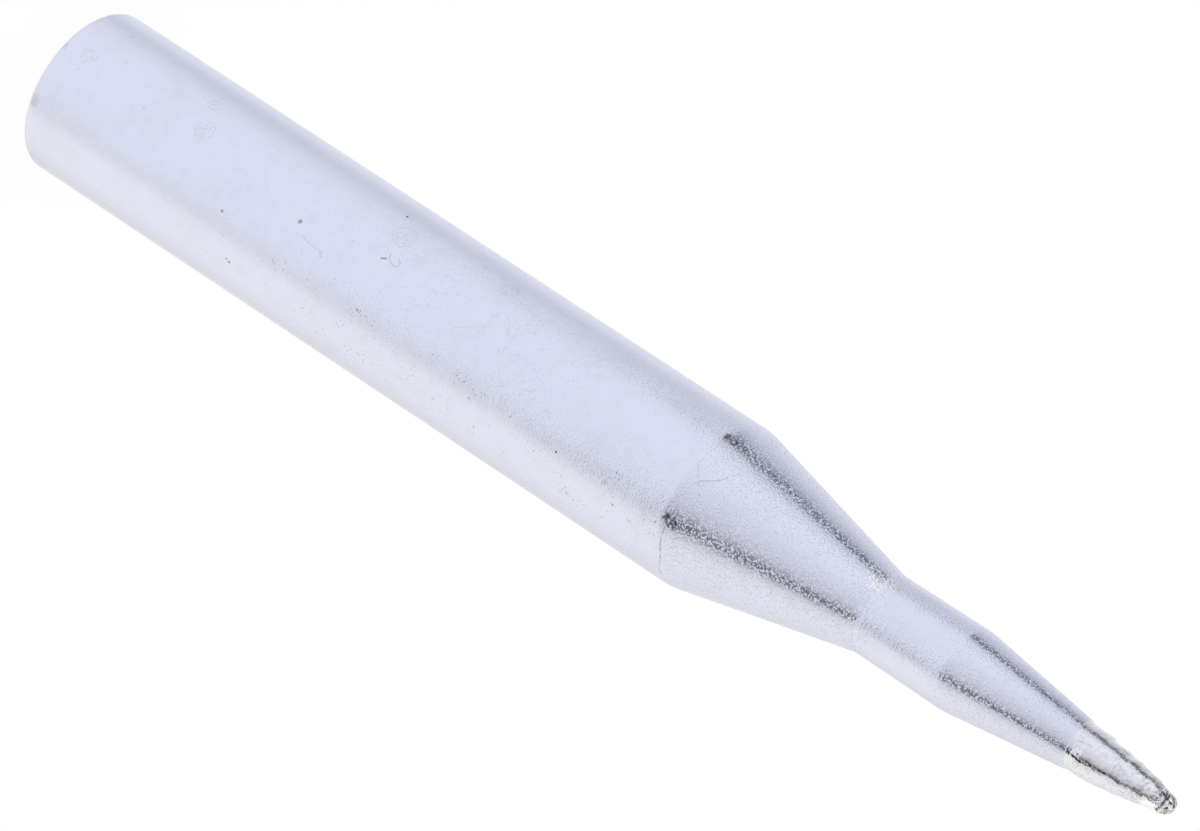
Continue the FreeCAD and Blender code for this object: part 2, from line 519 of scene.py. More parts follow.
def make_solder():
    """Solder shell from the plating's edge over the cone to the bead, closed on its inside."""
    angles = angles_of(SOLDER_SEGMENTS)
    rings = seat_rings(SOLDER_SEGMENTS)[::-1]
    cone_end = POINT_HEIGHT - CONE_END_BELOW_POINT
    for step in range(CONE_STEPS + 1):
        ring = []
        for angle in angles:
            start = tinned_edge(angle)
            height = start + (cone_end - start) * step / CONE_STEPS
            ring.append(coat_point(height, angle, smooth_step((height - start) / SWELL_RISE)))
        rings.append(ring)

    origin = Vector((0, 0, POINT_HEIGHT))
    last = rings[-1]
    for step in range(1, END_STEPS):
        ring = []
        for angle, edge in zip(angles, last):
            first_turn = math.atan2((edge - origin).dot(side(angle)), cone_end - POINT_HEIGHT)
            point = point_end(origin, first_turn * (1 - step / END_STEPS), angle)
            blend = smooth_step(step / END_BLEND_STEPS)
            if blend < 1:
                point = further_on_cone(edge, angle, step).lerp(point, blend)
            ring.append(point)
        rings.append(ring)
    rings.append([point_end(origin, 0.0, 0.0)])
    return skin("solder", rings)


def further_on_cone(edge, angle, step):
    """Point some steps further along the coat than the last ring of the cone."""
    height = edge.z + CONE_STEP_LENGTH * step
    shift = solder_radius(height, angle) - solder_radius(edge.z, angle)
    return edge + side(angle) * shift + Vector((0, 0, height - edge.z))


class Graph:
    """Short calls for building one node tree of a material or the world."""

    def __init__(self, tree):
        self.tree = tree
        self.tree.nodes.clear()

    def join(self, source, target):
        """Link an output to an input."""
        self.tree.links.new(source, target)

    def add(self, kind, inputs=None, **settings):
        """Node with its settings, and with values or links on its inputs."""
        node = self.tree.nodes.new(kind)
        for name, value in settings.items():
            setattr(node, name, value)
        for name, value in (inputs or {}).items():
            socket = node.inputs[name]
            if isinstance(value, bpy.types.NodeSocket):
                self.join(value, socket)
            else:
                socket.default_value = value
        return node

    def math(self, operation, first, second=0.0, third=0.0, clamp=False):
        """Number that a math node gives."""
        node = self.add(
            "ShaderNodeMath",
            {0: first, 1: second, 2: third},
            operation=operation,
            use_clamp=clamp,
        )
        return node.outputs[0]

    def band(self, value, start, end, low=0.0, high=1.0):
        """Smooth step of value from low at start to high at end."""
        node = self.add(
            "ShaderNodeMapRange",
            {"Value": value, "From Min": start, "From Max": end, "To Min": low, "To Max": high},
            interpolation_type="SMOOTHSTEP",
        )
        return node.outputs[0]

    def mix(self, factor, first, second):
        """First colour where the factor is 0, and the second where it is 1."""
        node = self.add("ShaderNodeMix", data_type="RGBA")
        for socket, value in zip((0, 6, 7), (factor, first, second)):
            if isinstance(value, bpy.types.NodeSocket):
                self.join(value, node.inputs[socket])
            else:
                node.inputs[socket].default_value = value
        return node.outputs[2]

    def shade(self, colour, mask, share, second):
        """Colour mixed with a second one, by a share of a mask."""
        return self.mix(self.math("MULTIPLY", mask, share), colour, second)

    def noise(self, vector, size, detail=2.0, roughness=0.5):
        """Noise from 0 to 1, whose largest grains have that size."""
        node = self.add(
            "ShaderNodeTexNoise",
            {"Vector": vector, "Scale": 1 / size, "Detail": detail, "Roughness": roughness},
        )
        return node.outputs["Fac"]

    def mark(self, name):
        """A mask that the mesh carries."""
        return self.add("ShaderNodeAttribute", attribute_name=name).outputs["Fac"]

    def vector(self, operation, first, second):
        """Vector that a vector math node gives."""
        node = self.add("ShaderNodeVectorMath", {0: first, 1: second}, operation=operation)
        return node.outputs[0]

    def dot(self, first, second):
        """Dot product of two vectors."""
        node = self.add("ShaderNodeVectorMath", {0: first, 1: second}, operation="DOT_PRODUCT")
        return node.outputs["Value"]

    def distance(self, first, second):
        """Distance between two places."""
        node = self.add("ShaderNodeVectorMath", {0: first, 1: second}, operation="DISTANCE")
        return node.outputs["Value"]

    def ramp(self, value, stops, interpolation="EASE"):
        """Colour at a value from 0 to 1, between stops of position and colour."""
        node = self.add("ShaderNodeValToRGB", {"Fac": value})
        elements = node.color_ramp.elements
        node.color_ramp.interpolation = interpolation
        while len(elements) < len(stops):
            elements.new(0.5)
        for element, (position, colour) in zip(elements, stops):
            element.position = position
            element.color = (*colour, 1.0)
        return node.outputs["Color"]


def material(name):
    """Empty node material and the graph that fills it."""
    made = bpy.data.materials.new(name)
    made.use_nodes = True
    return made, Graph(made.node_tree)


def metal_surface(graph):
    """Metal shader on the material's output."""
    output = graph.add("ShaderNodeOutputMaterial")
    metal = graph.add("ShaderNodeBsdfPrincipled", {"Metallic": 1.0})
    graph.join(metal.outputs[0], output.inputs["Surface"])
    return metal


def emboss(graph, metal, level, distance):
    """Relief on a metal, a distance high where the level is 1."""
    bump = graph.add("ShaderNodeBump", {"Height": level, "Strength": 1.0, "Distance": distance})
    graph.join(bump.outputs[0], metal.inputs["Normal"])


def grey(value):
    """Colour whose channels are all alike."""
    return (value, value, value)


def millimetres(graph):
    """Place on the object, in millimetres, and its height along the axis."""
    metres = graph.add("ShaderNodeTexCoord").outputs["Object"]
    vector = graph.vector("MULTIPLY", metres, Vector((1 / MM, 1 / MM, 1 / MM)))
    height = graph.add("ShaderNodeSeparateXYZ", {"Vector": vector}).outputs["Z"]
    return vector, height


def body_radius(height):
    """Radius of the plated body at a height, without its blends."""
    stops = (
        (0.0, SHANK_RADIUS),
        (SHOULDER_HEIGHT, SHANK_RADIUS),
        (NECK_ROOT_HEIGHT, NECK_ROOT_RADIUS),
        (NECK_FRONT_HEIGHT, NECK_FRONT_RADIUS),
        (POINT_HEIGHT, POINT_RADIUS),
    )
    return float(np.interp(height, [stop[0] for stop in stops], [stop[1] for stop in stops]))


def on_body(height, azimuth):
    """Point on the body's skin at a height and an azimuth in degrees."""
    return place(body_radius(height), height, math.radians(azimuth))


# Marks on the plating, each by height, azimuth in degrees and size
DRIED_DROPS = (
    (16.2, -36.5, 0.50),
    (7.03, -21.6, 0.38),
    (6.45, -41.5, 0.24),
    (20.76, -47.4, 0.33),
    (1.2, -20.0, 0.30),
)
GREY_SPECKS = (
    (12.59, -5.7, 0.115),
    (9.56, 16.2, 0.085),
    (10.48, 45.2, 0.075),
    (10.34, 44.0, 0.06),
)
BLACK_SPECKS = ((15.47, -52.3, 0.060), (26.3, 27.7, 0.055), (20.9, -88.0, 0.06))
PALE_DOTS = (
    (14.82, -14.1, 0.045),
    (15.07, 12.4, 0.05),
    (15.75, 8.9, 0.04),
    (16.17, 13.1, 0.05),
    (16.93, 4.4, 0.045),
    (17.68, -7.2, 0.04),
    (13.92, -9.8, 0.03),
    (1.21, -9.1, 0.05),
    (4.48, -11.0, 0.06),
    (2.55, -31.1, 0.045),
    (1.65, -52.9, 0.07),
    (18.1, 46.4, 0.05),
    (19.01, 39.0, 0.05),
    (20.75, 29.0, 0.05),
    (29.65, -2.9, 0.045),
    (32.98, -25.7, 0.05),
    (35.91, 41.0, 0.05),
    (31.0, 39.9, 0.06),
)
# Painted dark reflections where the two streaks start at the shoulder
SHOULDER_DARK_REFLECTIONS = (
    (31.45, 23.6, 0.24),
    (31.75, 25.5, 0.30),
    (31.42, -44.4, 0.22),
    (31.75, -44.0, 0.24),
)
GLITTER = ((38.75, -38.0, 0.45), (39.05, -28.0, 0.40), (39.2, -42.0, 0.35), (38.9, 22.0, 0.30))
RIM_SMUDGES = ((0.18, 24.0, 0.34), (0.12, -17.0, 0.2))

# Fine lines on the plating, as points of height and azimuth in degrees
CURLED_FIBRE = (
    (16.33, -20.6),
    (16.41, -18.0),
    (16.58, -15.9),
    (16.74, -14.8),
    (16.87, -14.8),
    (16.91, -16.4),
    (16.90, -18.9),
    (16.75, -20.5),
)
DRIP_TAIL = ((12.98, 1.1), (13.22, 2.1), (13.45, 2.8), (13.68, 3.1), (13.91, 2.6))
DRIP_HEAD = ((13.98, 3.1), (14.09, 5.7))
SHOULDER_ARC = ((31.47, -21.7), (31.41, -17.2), (31.53, -13.7), (31.69, -11.0))
SHOULDER_HAIR = ((31.80, -4.8), (31.92, -8.7), (32.19, -11.9), (32.42, -15.7), (32.56, -20.6))
SHOULDER_CRACK = (
    (31.55, 29.4),
    (31.50, 37.2),
    (31.55, 45.4),
    (31.60, 52.6),
    (31.47, 64.5),
    (31.56, 70.9),
)
SCRATCHES = (
    ((19.88, -4.7), (20.78, 4.9)),
    ((20.23, -2.2), (21.10, -12.8), (21.95, -23.1)),
    ((21.38, -0.4), (21.55, -1.0)),
    ((21.73, -4.7), (22.12, -5.7)),
)
LONG_HAIR = ((17.52, 50.4), (19.09, 47.7), (20.75, 45.8))
BROWN_DASH = ((16.18, -14.7), (16.34, -16.1))

# Widths of these lines, and how strong the marks are
FAINT_LINES_AND_WIDTHS = ((DRIP_TAIL, 0.03), (DRIP_HEAD, 0.09), (SHOULDER_ARC, 0.035))
FAINT_SHARE = 0.45
SCRATCH_WIDTH = 0.03
DOT_SHARE = 0.6
RIM_SMUDGE_SHARE = 0.45
CRACK_WIDTH = 0.06
FIBRE_WIDTH = 0.035
SHOULDER_HAIR_WIDTH = 0.03
HAIR_SHARE = 0.8
DASH_WIDTH = 0.05
SPECK_SHARE = 0.85

# Share of a spot's size or a line's width within which it has its full strength
SPOT_CORE = 0.45
STROKE_CORE = 0.35

# Dried drops: how far their rims wander, half the rims' width, and where the inside fades.
# Here and below, two or four numbers together are a band: where it starts and ends, and
# what it gives there if that isn't 0 and 1
DROP_WOBBLE = 0.34
DROP_WOBBLE_SIZE = 0.3
DROP_RIM = 0.06
DROP_INSIDE = 0.05
DROP_GAP_SIZE = 0.22
DROP_GAPS = (0.38, 0.60, 0.1, 1.0)
DROP_MOTTLE_SIZE = 0.10
DROP_MOTTLE = (0.42, 0.66, 0.0, 0.75)


def past_edge(graph, vector, height):
    """Distance past the slanting edge where the plating stops."""
    lean = side(TINNED_EDGE_AZIMUTH) * math.tan(TINNED_EDGE_TILT)
    level = graph.math("SUBTRACT", height, graph.dot(vector, lean))
    return graph.math("SUBTRACT", level, TINNED_EDGE_HEIGHT)


def larger(graph, mask, other):
    """Larger of two masks, or the one that there is."""
    return mask if other is None else graph.math("MAXIMUM", mask, other)


def most(graph, masks):
    """Largest of some masks."""
    result = None
    for mask in masks:
        result = larger(graph, mask, result)
    return result


def spots(graph, vector, places):
    """Mask of round spots."""
    result = None
    for height, azimuth, size in places:
        away = graph.distance(vector, on_body(height, azimuth))
        result = larger(graph, graph.band(away, size, size * SPOT_CORE), result)
    return result


def stroke(graph, vector, points, width):
    """Mask of a fine line through points of height and azimuth."""
    ends = [on_body(height, azimuth) for height, azimuth in points]
    result = None
    for start, end in zip(ends, ends[1:]):
        run = end - start
        from_start = graph.vector("SUBTRACT", vector, start)
        along = graph.math("DIVIDE", graph.dot(from_start, run), run.length_squared, clamp=True)
        nearest = graph.add("ShaderNodeVectorMath", {0: run}, operation="SCALE")
        graph.join(along, nearest.inputs["Scale"])
        away = graph.distance(from_start, nearest.outputs[0])
        result = larger(graph, graph.band(away, width, width * STROKE_CORE), result)
    return result


def contour(graph, level, width):
    """Mask of the thin lines along which a noise has its middle value."""
    off = graph.math("ABSOLUTE", graph.math("SUBTRACT", level, 0.5))
    return graph.band(off, width, 0.0)


def dried_drops(graph, vector):
    """Mask of the mottled patches with broken rims that drops left where they dried."""
    wobble = graph.noise(vector, DROP_WOBBLE_SIZE, detail=3.0)
    wobble = graph.math("MULTIPLY", wobble, DROP_WOBBLE)
    broken = graph.band(graph.noise(vector, DROP_GAP_SIZE), *DROP_GAPS)
    mottle = graph.band(graph.noise(vector, DROP_MOTTLE_SIZE, detail=1.0), *DROP_MOTTLE)
    result = None
    for height, azimuth, size in DRIED_DROPS:
        away = graph.math("ADD", graph.distance(vector, on_body(height, azimuth)), wobble)
        edge = size + DROP_WOBBLE / 2
        off = graph.math("ABSOLUTE", graph.math("SUBTRACT", away, edge))
        rim = graph.math("MULTIPLY", graph.band(off, DROP_RIM, 0.0), broken)
        inside = graph.math("MULTIPLY", graph.band(away, edge, size + DROP_INSIDE), mottle)
        result = larger(graph, graph.math("MAXIMUM", rim, inside), result)
    return result


# Grain of the plating along the axis: height, and how strong it is there. A ramp holds no
# more than 1, so the strengths are divided by GAIN_SCALE and the relief is multiplied by it
GRAIN = (
    (0.0, 0.05),
    (10.0, 0.05),
    (16.0, 0.07),
    (22.0, 0.10),
    (29.8, 0.17),
    (31.2, 0.42),
    (32.0, 0.90),
    (38.2, 0.80),
    (39.1, 1.2),
    (40.0, 0.27),
    (42.4, 0.27),
    (43.4, 0.76),
    (46.0, 0.76),
    (48.4, 0.62),
)
GAIN_SCALE = 2

# Relief of the plating: stretches along the three axes, sizes and heights
GRAIN_STRETCH = Vector((0.9, 0.9, 1.1))
GRAIN_SIZE = 0.078
SOFT_GRAIN = 0.004
SHARP_GRAIN = 0.010
SHARP_GRAIN_BAND = (0.57, 0.71)
WAVES_STRETCH = Vector((0.5, 0.5, 1.0))
WAVES_SIZE = 0.35
WAVES = 0.003
TURNING_STRETCH = Vector((0.12, 0.12, 1.0))
TURNING_SIZE = 0.12
TURNING_MARKS = 0.007

# Colours of the plating and its marks, and of its painted sparkle, highlights and dark reflections
CLEAN = (0.780, 0.800, 0.907, 1.0)
DULLED = (0.730, 0.745, 0.84, 1.0)
STAIN = (0.56, 0.56, 0.62, 1.0)
GRIME = (0.33, 0.32, 0.31, 1.0)
SOOT_AND_PAINTED_DARK = (0.05, 0.05, 0.055, 1.0)
BROWN = (0.50, 0.45, 0.41, 1.0)
FLECK_SPARKLE = (0.92, 0.94, 1.0, 1.0)
WHITE = (1.0, 1.0, 1.0, 1.0)

# Clouds, felt-like scuffs and dull nose of the plating, and its roughness
CLOUD_SIZE = 2.6
CLOUDS = (0.48, 0.72, 0.0, 0.30)
NOSE_DULLING = (42.6, 47.6, 0.0, 0.65)
FELT_SIZE = 0.085
FELT = (0.46, 0.74, 0.0, 0.13)
VEIL_SIZE = 0.6
VEIL = (0.46, 0.70, 0.0, 0.08)
SMUDGE_SIZE = 2.2
PLATING_ROUGHNESS = (0.3, 0.7, 0.15, 0.20)

# Rough flecks between the grains with painted sparkle in their colour, and painted sparkle in the
# corner before the neck
FLECK_SIZE = 0.085
FLECKS = (0.60, 0.68)
FLECK_ROUGHNESS = 1.1
FLECK_WHITENESS = 1.3
GLITTER_SIZE = 0.06
GLITTER_BAND = (0.52, 0.60)

# Scuff threads in patches of the shank
THREAD_SIZE = 0.95
THREAD_WIDTH = 0.010
THREAD_PATCH_SIZE = 2.4
THREAD_PATCHES = (0.44, 0.58)
THREADS_START = (13.0, 19.0)
THREADS_END = (31.4, 30.0, 0.0, 0.55)

# Pits in patches, most of them on the side that has been scuffed
PIT_SIZE = 0.11
PITS = (0.66, 0.72)
PIT_PATCH_SIZE = 1.1
PIT_PATCHES = (0.50, 0.62)
SCUFFED_AZIMUTH = math.radians(36)
SCUFFED = (SHANK_RADIUS * 0.86, SHANK_RADIUS * 0.97, 0.12, 0.85)
PITS_START = (6.0, 18.0)

# Breaks in the scratches, the shoulder's crack and the painted dark reflections where its streaks
# start, and the painted highlight along the plating's edge
BREAK_SIZE = 0.13
SCRATCH_BREAKS = (0.35, 0.65, 0.05, 0.35)
DARK_REFLECTION_BREAKS = (0.40, 0.58, 0.0, 0.75)
CRACK_BREAK_SIZE = 0.2
CRACK_BREAKS = (0.4, 0.6, 0.1, 0.7)
PLATING_EDGE_HIGHLIGHT = (-0.025, -0.006, 0.0, 0.4)


def plating_relief(graph, vector, gain):
    """Grain, waves and turning marks of the plating."""
    grain = graph.noise(graph.vector("MULTIPLY", vector, GRAIN_STRETCH), GRAIN_SIZE, detail=0.0)
    waves = graph.noise(graph.vector("MULTIPLY", vector, WAVES_STRETCH), WAVES_SIZE, detail=1.0)
    turned = graph.noise(graph.vector("MULTIPLY", vector, TURNING_STRETCH), TURNING_SIZE)
    bumps = graph.math("MULTIPLY", grain, SOFT_GRAIN)
    sharp = graph.band(grain, *SHARP_GRAIN_BAND)
    bumps = graph.math("MULTIPLY_ADD", sharp, SHARP_GRAIN, bumps)
    bumps = graph.math("MULTIPLY_ADD", waves, WAVES, bumps)
    bumps = graph.math("MULTIPLY_ADD", turned, TURNING_MARKS, bumps)
    return graph.math("MULTIPLY", bumps, gain)


def scuffed(graph, vector, height, colour):
    """Colour with the scuff threads and pits of the shank."""
    threads = graph.noise(vector, THREAD_SIZE, detail=3.5, roughness=0.62)
    threads = contour(graph, threads, THREAD_WIDTH)
    region = graph.band(graph.noise(vector, THREAD_PATCH_SIZE), *THREAD_PATCHES)
    region = graph.math("MULTIPLY", region, graph.band(height, *THREADS_START))
    region = graph.math("MULTIPLY", region, graph.band(height, *THREADS_END))
    colour = graph.shade(colour, threads, region, STAIN)

    pits = graph.band(graph.noise(vector, PIT_SIZE, detail=1.0), *PITS)
    patches = graph.band(graph.noise(vector, PIT_PATCH_SIZE, detail=2.0), *PIT_PATCHES)
    worn = graph.band(graph.dot(vector, side(SCUFFED_AZIMUTH)), *SCUFFED)
    pit_share = graph.math("MULTIPLY", graph.band(height, *PITS_START), worn)
    return graph.shade(colour, graph.math("MULTIPLY", pits, patches), pit_share, GRIME)


def marked(graph, vector, fine, colour):
    """Colour with the marks of the plating at their places, and with painted dark reflections
    where the streaks start at the shoulder.
    """
    faint = [dried_drops(graph, vector)]
    faint += [stroke(graph, vector, points, width) for points, width in FAINT_LINES_AND_WIDTHS]
    colour = graph.shade(colour, most(graph, faint), FAINT_SHARE, STAIN)
    scratches = SCRATCHES + (LONG_HAIR,)
    scratches = [stroke(graph, vector, points, SCRATCH_WIDTH) for points in scratches]
    scratches = most(graph, scratches)
    colour = graph.shade(colour, scratches, graph.band(fine, *SCRATCH_BREAKS), STAIN)
    colour = graph.shade(colour, spots(graph, vector, PALE_DOTS), DOT_SHARE, STAIN)
    colour = graph.shade(colour, spots(graph, vector, RIM_SMUDGES), RIM_SMUDGE_SHARE, STAIN)
    crack = stroke(graph, vector, SHOULDER_CRACK, CRACK_WIDTH)
    breaks = graph.band(graph.noise(vector, CRACK_BREAK_SIZE), *CRACK_BREAKS)
    colour = graph.shade(colour, crack, breaks, BROWN)
    fibre = stroke(graph, vector, CURLED_FIBRE, FIBRE_WIDTH)
    hair = stroke(graph, vector, SHOULDER_HAIR, SHOULDER_HAIR_WIDTH)
    colour = graph.shade(colour, most(graph, [fibre, hair]), HAIR_SHARE, STAIN)
    specks = spots(graph, vector, GREY_SPECKS)
    dash = stroke(graph, vector, BROWN_DASH, DASH_WIDTH)
    colour = graph.shade(colour, most(graph, [specks, dash]), SPECK_SHARE, GRIME)
    colour = graph.mix(spots(graph, vector, BLACK_SPECKS), colour, SOOT_AND_PAINTED_DARK)
    # Painted dark reflections where the streaks start at the shoulder, broken up
    breaks = graph.band(fine, *DARK_REFLECTION_BREAKS)
    return graph.shade(colour, spots(graph, vector, SHOULDER_DARK_REFLECTIONS), breaks, SOOT_AND_PAINTED_DARK)


def plating_material():
    """Satin nickel-like plating, smooth at the rear and grainy on the tapers."""
    made, graph = material("plating")
    vector, height = millimetres(graph)
    metal = metal_surface(graph)
    share = graph.math("DIVIDE", height, TOP_HEIGHT)
    stops = [(z / TOP_HEIGHT, grey(level / GAIN_SCALE)) for z, level in GRAIN]
    gain = graph.ramp(share, stops, "LINEAR")
    emboss(graph, metal, plating_relief(graph, vector, gain), GAIN_SCALE * MM)

    clouds = graph.band(graph.noise(vector, CLOUD_SIZE, detail=4.0), *CLOUDS)
    colour = graph.mix(clouds, CLEAN, DULLED)
    colour = graph.mix(graph.band(height, *NOSE_DULLING), colour, DULLED)
    fine = graph.noise(vector, BREAK_SIZE, detail=1.0)
    felt = graph.noise(vector, FELT_SIZE, detail=1.0, roughness=0.7)
    veil = graph.noise(vector, VEIL_SIZE, detail=3.0, roughness=0.6)
    felt = graph.band(felt, *FELT)
    felt = graph.math("ADD", felt, graph.band(veil, *VEIL))
    colour = graph.mix(felt, colour, STAIN)
    # Rough flecks, whose whitened colour is painted sparkle
    flecks = graph.noise(vector, FLECK_SIZE, detail=0.0)
    flecks = graph.math("MULTIPLY", graph.band(flecks, *FLECKS), gain)
    colour = graph.shade(colour, flecks, FLECK_WHITENESS, FLECK_SPARKLE)
    # Painted sparkle: white glitter in the corner before the neck
    glitter = graph.band(graph.noise(vector, GLITTER_SIZE, detail=0.0), *GLITTER_BAND)
    colour = graph.shade(colour, glitter, spots(graph, vector, GLITTER), WHITE)
    colour = scuffed(graph, vector, height, colour)
    colour = marked(graph, vector, fine, colour)
    # Painted highlight along the plating's edge next to the solder
    edge_highlight = graph.band(past_edge(graph, vector, height), *PLATING_EDGE_HIGHLIGHT)
    colour = graph.mix(edge_highlight, colour, WHITE)
    graph.join(colour, metal.inputs["Base Color"])

    smudge = graph.noise(vector, SMUDGE_SIZE, detail=4.0)
    rough = graph.band(smudge, *PLATING_ROUGHNESS)
    rough = graph.math("MULTIPLY_ADD", flecks, FLECK_ROUGHNESS, rough)
    graph.join(rough, metal.inputs["Roughness"])
    return made


# Relief, colours and roughness of the solder
CRACKLE_SIZE = 0.13
CRACKLE_HEIGHT = 0.09
COAT_CRACKLE = (POINT_HEIGHT - 3.0, POINT_HEIGHT - 0.2, 0.08, 0.24)
BEAD_CRACKLE = (POINT_HEIGHT, POINT_HEIGHT + 0.3, 0.0, 1.3)
BRIGHT = (0.86, 0.865, 0.90, 1.0)
FLUX = (0.50, 0.47, 0.46, 1.0)
SMUDGE_AND_PAINTED_DARK = (0.02, 0.02, 0.025, 1.0)
SOLDER_ROUGHNESS = 0.16

# Flux stains: thin wandering lines in patches, and a mottle that grows towards the bead
WANDER_SIZE = 0.45
WANDER_WIDTH = 0.018
FLUX_PATCH_SIZE = 0.8
FLUX_PATCHES = (0.4, 0.65)
FLUX_SHARE = 0.45
END_STAIN = (POINT_HEIGHT - 1.6, POINT_HEIGHT + 0.1, 0.22, 0.85)
MOTTLE = (0.42, 0.68)
FLUX_BREAK_SIZE = 0.15
FLUX_BREAKS = (0.35, 0.55, 0.15, 0.6)

# Painted highlight along the solder's edge beside the plating, and painted highlight on one
# side of the point round a place of height and azimuth in degrees
SOLDER_EDGE_HIGHLIGHT = (0.045, 0.0, 0.0, 0.6)
SIDE_HIGHLIGHT_PLACE = (51.9, 78.0)
SIDE_HIGHLIGHT_REACH = (0.55, 0.35)

# Speckle that breaks up the painted dark reflections along the streaks, on the bead and in the
# groove, and the dark smudges
SPECKLE_SIZE = 0.075
STREAK_AT_EDGE_SPECKLE = (0.32, 0.50)
TUFT_SPECKLE = (0.38, 0.52)
TUFT_BREAK_SIZE = 0.11
TUFT_BREAKS = (0.42, 0.56, 0.2, 1.0)
OTHER_SPECKLE = {
    "dark_lines": (0.28, 0.56, 0.05, 0.45),
    "smudges": (0.40, 0.56, 0.10, 0.75),
    "curls": (0.34, 0.50, 0.3, 0.95),
}
GROOVE_LINE = (0.06, 0.015)
GROOVE_SPECKLE = (0.3, 0.6, 0.25, 0.8)


def solder_material():
    """Bright tin solder with thin brownish flux stains, dark smudges and a crackled skin, with
    painted dark reflections along its streaks and on its bead, painted shade in its groove, and
    painted highlights at its edge, on one side of its point and in glints.
    """
    made, graph = material("solder")
    vector, height = millimetres(graph)
    metal = metal_surface(graph)
    crackle = graph.noise(vector, CRACKLE_SIZE, detail=1.0)
    coat_share = graph.band(height, *COAT_CRACKLE)
    bead_share = graph.band(height, *BEAD_CRACKLE)
    relief = graph.math("MULTIPLY", crackle, graph.math("ADD", coat_share, bead_share))
    emboss(graph, metal, relief, CRACKLE_HEIGHT * MM)

    wander = graph.noise(vector, WANDER_SIZE, detail=3.0, roughness=0.6)
    line = contour(graph, wander, WANDER_WIDTH)
    patches = graph.band(graph.noise(vector, FLUX_PATCH_SIZE), *FLUX_PATCHES)
    stains = graph.math("MULTIPLY", line, graph.math("MULTIPLY", patches, FLUX_SHARE))
    end_stain = graph.band(height, *END_STAIN)
    mottle = graph.band(crackle, *MOTTLE)
    stains = graph.math("ADD", stains, graph.math("MULTIPLY", end_stain, mottle), clamp=True)
    colour = graph.mix(stains, BRIGHT, FLUX)
    breaks = graph.band(graph.noise(vector, FLUX_BREAK_SIZE), *FLUX_BREAKS)
    colour = graph.shade(colour, graph.mark("faint_lines"), breaks, FLUX)
    # Painted highlight along the solder's edge beside the plating
    edge_highlight = graph.band(past_edge(graph, vector, height), *SOLDER_EDGE_HIGHLIGHT)
    colour = graph.mix(edge_highlight, colour, WHITE)
    # Painted highlight on one side of the point
    from_highlight = graph.distance(vector, on_solder(*SIDE_HIGHLIGHT_PLACE))
    colour = graph.mix(graph.band(from_highlight, *SIDE_HIGHLIGHT_REACH), colour, WHITE)

    speckle = graph.noise(vector, SPECKLE_SIZE, detail=0.0)
    # Painted dark reflections along the solder's two streaks, broken up by the speckle
    near = graph.band(speckle, *STREAK_AT_EDGE_SPECKLE)
    colour = graph.shade(colour, graph.mark("streak_at_edge"), near, SMUDGE_AND_PAINTED_DARK)
    tufts = graph.math("MULTIPLY", graph.mark("tufts"), graph.band(speckle, *TUFT_SPECKLE))
    breaks = graph.band(graph.noise(vector, TUFT_BREAK_SIZE, detail=0.0), *TUFT_BREAKS)
    colour = graph.shade(colour, tufts, breaks, SMUDGE_AND_PAINTED_DARK)
    # Painted dark reflections along the streaks and on the bead, and the dark smudges
    for name, speckle_band in OTHER_SPECKLE.items():
        share = graph.band(speckle, *speckle_band)
        colour = graph.shade(colour, graph.mark(name), share, SMUDGE_AND_PAINTED_DARK)
    # Painted shade along the slanting groove where the coat ends against the bead
    slant = place(-math.sin(GROOVE_TILT), math.cos(GROOVE_TILT), GROOVE_AZIMUTH)
    from_end = graph.vector("SUBTRACT", vector, Vector((0, 0, POINT_HEIGHT)))
    groove = graph.math("ABSOLUTE", graph.dot(from_end, slant))
    groove = graph.band(groove, *GROOVE_LINE)
    colour = graph.shade(colour, groove, graph.band(speckle, *GROOVE_SPECKLE), SMUDGE_AND_PAINTED_DARK)
    # Painted glints: white highlights mixed into the colour at their spots
    colour = graph.mix(graph.mark("glints"), colour, WHITE)
    graph.join(colour, metal.inputs["Base Color"])
    metal.inputs["Roughness"].default_value = SOLDER_ROUGHNESS
    return made


# Floor: its size, its paint, and the light that the camera sees in its place
FLOOR_REACH = 1500.0
FLOOR_PAINT = (0.9, 0.9, 0.9, 1.0)
FLOOR_GLOW = 1.045
FLOOR_GLOW_SHARE = 0.85


def floor_material():
    """Plain white floor, a white sheet to the camera that keeps a faint soft shadow."""
    made, graph = material("white_floor")
    output = graph.add("ShaderNodeOutputMaterial")
    paint = graph.add("ShaderNodeBsdfDiffuse", {"Color": FLOOR_PAINT})
    glow = graph.add("ShaderNodeEmission", {"Color": WHITE, "Strength": FLOOR_GLOW})
    rays = graph.add("ShaderNodeLightPath")
    seen = graph.math("MAXIMUM", rays.outputs["Is Camera Ray"], rays.outputs["Is Glossy Ray"])
    seen = graph.math("MAXIMUM", seen, rays.outputs["Is Transmission Ray"])
    share = graph.math("MULTIPLY", seen, FLOOR_GLOW_SHARE)
    mixed = graph.add("ShaderNodeMixShader", {0: share, 1: paint.outputs[0], 2: glow.outputs[0]})
    graph.join(mixed.outputs[0], output.inputs["Surface"])
    return made


def make_floor():
    """White table that the tip stands on."""
    reach = FLOOR_REACH * MM
    mesh = bpy.data.meshes.new("floor")
    corners = [(-reach, -reach, 0), (reach, -reach, 0), (reach, reach, 0), (-reach, reach, 0)]
    mesh.from_pydata(corners, [], [(0, 1, 2, 3)])
    floor = bpy.data.objects.new("floor", mesh)
    floor.visible_glossy = False
    bpy.context.scene.collection.objects.link(floor)
    mesh.materials.append(floor_material())


